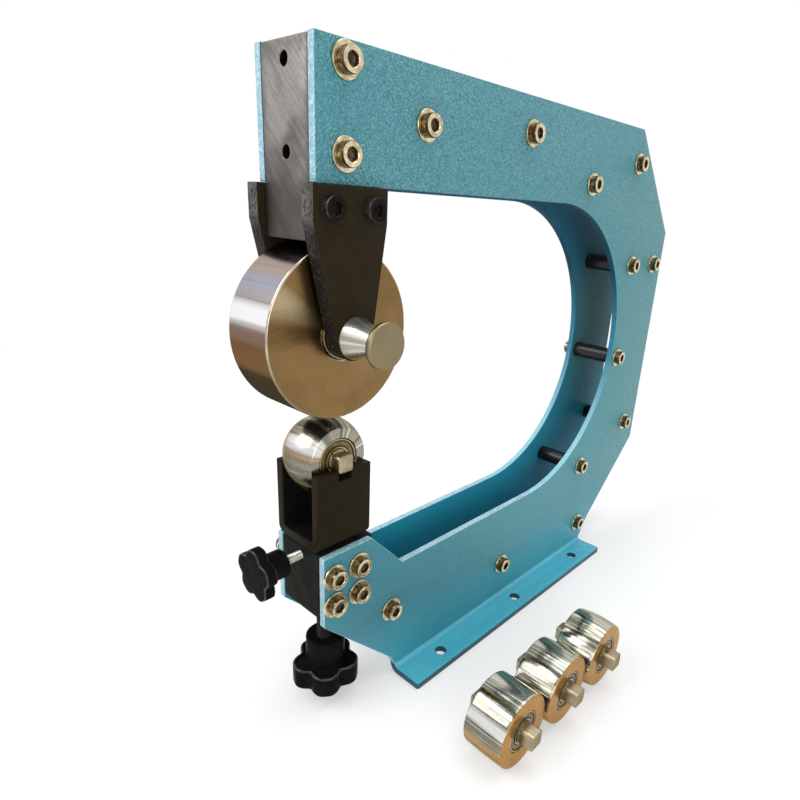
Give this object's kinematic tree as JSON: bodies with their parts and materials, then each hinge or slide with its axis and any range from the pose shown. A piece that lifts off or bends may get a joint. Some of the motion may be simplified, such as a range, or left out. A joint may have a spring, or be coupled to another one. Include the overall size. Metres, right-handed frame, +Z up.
{
  "type": "english wheel",
  "caption": "Bench english wheel: a C frame of two bent steel plates, a quick-pin upper wheel, a screw-adjusted anvil in a yoke, and spare anvils.",
  "frame": {"origin": "on the floor under the middle of the bounding box of the machine with its spare anvils", "axes": "+Z up, -Y the front where the wheels and knobs are, +X the side of the pull pin and the spare anvils; the machine's own mid-plane is at X = -0.0513"},
  "size_m": [0.2026, 0.473, 0.4135],
  "materials": {
    "blue_plate_paint": "hammer textured powder coat",
    "dark_block_steel": "dark machined steel with fine cutter marks",
    "black_oxide_steel": "black oxide",
    "black_rod_steel": "blackened rod between zinc plated screws and washers",
    "yellow_zinc": "yellow zinc plate",
    "polished_wheel_steel": "fine ground and polished",
    "bearing_steel": "ground rings and pressed shields",
    "bright_metal": "satin turned",
    "anvil_chrome": "mirror polished",
    "gloss_black_plastic": "glossy moulded"
  },
  "bodies": {
    "frame": {"side_plate_left": "blue_plate_paint", "side_plate_right": "blue_plate_paint", "spacer_bolt_1": "black_rod_steel", "spacer_bolt_2": "black_rod_steel", "spacer_bolt_3": "black_rod_steel", "spacer_bolt_4": "black_rod_steel", "spacer_bolt_5": "black_rod_steel", "spacer_bolt_6": "black_rod_steel", "spacer_bolt_7": "black_rod_steel", "spacer_bolt_8": "black_rod_steel", "spacer_bolt_9": "black_rod_steel", "spacer_bolt_10": "black_rod_steel", "spacer_bolt_11": "black_rod_steel", "spacer_bolt_12": "black_rod_steel", "upper_block": "dark_block_steel", "lower_block": "dark_block_steel", "upper_block_screw_left_1": "yellow_zinc", "upper_block_screw_left_2": "yellow_zinc", "lower_block_screw_left_1": "yellow_zinc", "lower_block_screw_left_2": "yellow_zinc", "lower_block_screw_left_3": "yellow_zinc", "lower_block_screw_left_4": "yellow_zinc", "fork_screw_left_1": "black_oxide_steel", "fork_screw_left_2": "black_oxide_steel", "fork_plate_left": "black_oxide_steel", "upper_block_screw_right_1": "yellow_zinc", "upper_block_screw_right_2": "yellow_zinc", "lower_block_screw_right_1": "yellow_zinc", "lower_block_screw_right_2": "yellow_zinc", "lower_block_screw_right_3": "yellow_zinc", "lower_block_screw_right_4": "yellow_zinc", "fork_screw_right_1": "black_oxide_steel", "fork_screw_right_2": "black_oxide_steel", "fork_plate_right": "black_oxide_steel"},
    "upper_wheel": {"upper_wheel": "polished_wheel_steel", "upper_wheel_bearing_left": "bearing_steel", "upper_wheel_bearing_right": "bearing_steel"},
    "axle_pin": {"wheel_axle_pin": "bright_metal"},
    "holder": {"anvil_holder": "black_oxide_steel", "holder_post": "black_oxide_steel", "anvil_axle": "bright_metal"},
    "anvil": {"anvil_wheel": "anvil_chrome", "anvil_bearing_left": "bearing_steel", "anvil_bearing_right": "bearing_steel"},
    "adjuster": {"adjusting_screw": "black_rod_steel", "adjusting_knob": "gloss_black_plastic"},
    "clamp_stud": {"clamp_stud": "bright_metal"},
    "clamp_knob": {"clamp_knob": "gloss_black_plastic"},
    "spare_1": {"spare_anvil_1_wheel": "anvil_chrome", "spare_anvil_1_bearing_left": "bearing_steel", "spare_anvil_1_bearing_right": "bearing_steel"},
    "spare_1_axle": {"spare_anvil_1_axle": "bright_metal"},
    "spare_2": {"spare_anvil_2_wheel": "anvil_chrome", "spare_anvil_2_bearing_left": "bearing_steel", "spare_anvil_2_bearing_right": "bearing_steel"},
    "spare_2_axle": {"spare_anvil_2_axle": "bright_metal"},
    "spare_3": {"spare_anvil_3_wheel": "anvil_chrome", "spare_anvil_3_bearing_left": "bearing_steel", "spare_anvil_3_bearing_right": "bearing_steel"},
    "spare_3_axle": {"spare_anvil_3_axle": "bright_metal"}
  },
  "joints": [
    {"name": "upper_wheel_spin", "type": "hinge", "parent": "frame", "child": "upper_wheel", "pos_m": [-0.0513, -0.182, 0.2679], "axis": [1, 0, 0], "continuous": true},
    {"name": "axle_pin_pull", "type": "slide", "parent": "frame", "child": "axle_pin", "axis": [1, 0, 0], "range_m": [0, 0.07]},
    {"name": "anvil_height", "type": "slide", "parent": "frame", "child": "holder", "axis": [0, 0, 1], "range_m": [-0.002, 0.004]},
    {"name": "anvil_spin", "type": "hinge", "parent": "holder", "child": "anvil", "pos_m": [-0.0513, -0.182, 0.1882], "axis": [1, 0, 0], "continuous": true},
    {"name": "adjusting_screw_turn", "type": "hinge", "parent": "holder", "child": "adjuster", "pos_m": [-0.0513, -0.182, 0.06], "axis": [0, 0, 1], "range_deg": [-480, 960]},
    {"name": "clamp_advance", "type": "slide", "parent": "frame", "child": "clamp_stud", "axis": [0, -1, 0], "range_m": [0, 0.005]},
    {"name": "clamp_turn", "type": "hinge", "parent": "clamp_stud", "child": "clamp_knob", "pos_m": [-0.0513, -0.2125, 0.122], "axis": [0, -1, 0], "range_deg": [0, 1800]},
    {"name": "spare_1_lift", "type": "slide", "parent": "frame", "child": "spare_1", "axis": [0, 0, 1], "range_m": [0, 0.12]},
    {"name": "spare_1_axle_spin", "type": "hinge", "parent": "spare_1", "child": "spare_1_axle", "pos_m": [0.0727, -0.131, 0.0253], "axis": [1, 0, 0], "continuous": true},
    {"name": "spare_2_lift", "type": "slide", "parent": "frame", "child": "spare_2", "axis": [0, 0, 1], "range_m": [0, 0.12]},
    {"name": "spare_2_axle_spin", "type": "hinge", "parent": "spare_2", "child": "spare_2_axle", "pos_m": [0.0745, -0.0797, 0.0253], "axis": [1, 0, 0], "continuous": true},
    {"name": "spare_3_lift", "type": "slide", "parent": "frame", "child": "spare_3", "axis": [0, 0, 1], "range_m": [0, 0.12]},
    {"name": "spare_3_axle_spin", "type": "hinge", "parent": "spare_3", "child": "spare_3_axle", "pos_m": [0.0763, -0.0284, 0.0253], "axis": [1, 0, 0], "continuous": true}
  ],
  "couplings": [
    {"joint": "adjusting_screw_turn", "follows": "anvil_height", "rad_per_m": 4188.8},
    {"joint": "clamp_turn", "follows": "clamp_advance", "rad_per_m": 6283.2}
  ]
}
